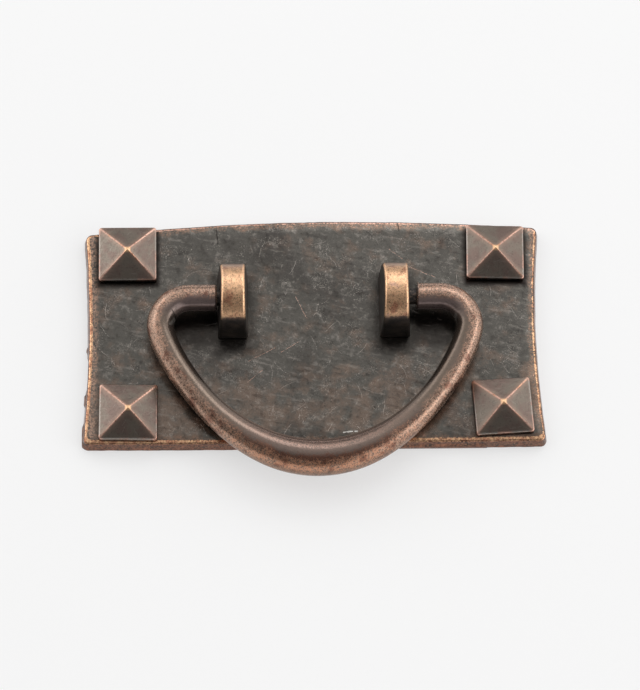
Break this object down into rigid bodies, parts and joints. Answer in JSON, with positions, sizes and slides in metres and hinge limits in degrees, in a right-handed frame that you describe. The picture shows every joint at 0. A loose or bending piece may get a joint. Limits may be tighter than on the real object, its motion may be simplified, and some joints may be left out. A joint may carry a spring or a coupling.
{
  "type": "cabinet pull",
  "caption": "Bail handle that swings between two eye posts on a bowed backplate with pyramid stud heads, for a drawer or a cabinet door.",
  "frame": {"origin": "midway between the two posts, on the flat back that lies against the drawer front", "axes": "+X to the right along the pivot line, +Y up the drawer front, +Z out of the drawer front"},
  "size_m": [0.1085, 0.0663, 0.017],
  "materials": {
    "plate": "antique copper, dark with worn edges and fine scratches",
    "post": "antique copper, rim rubbed bright",
    "bail": "antique copper, brown with rubbed highlights",
    "stud": "antique copper, brown with bright ridges"
  },
  "bodies": {
    "plate": {"backplate": "plate", "left_post": "post", "right_post": "post", "stud_top_left": "stud", "stud_top_right": "stud", "stud_bottom_left": "stud", "stud_bottom_right": "stud"},
    "handle": {"bail": "bail"}
  },
  "joints": [
    {"name": "bail_swing", "type": "hinge", "parent": "plate", "child": "handle", "pos_m": [0, 0, 0.009], "axis": [-1, 0, 0], "range_deg": [0, 190]}
  ]
}
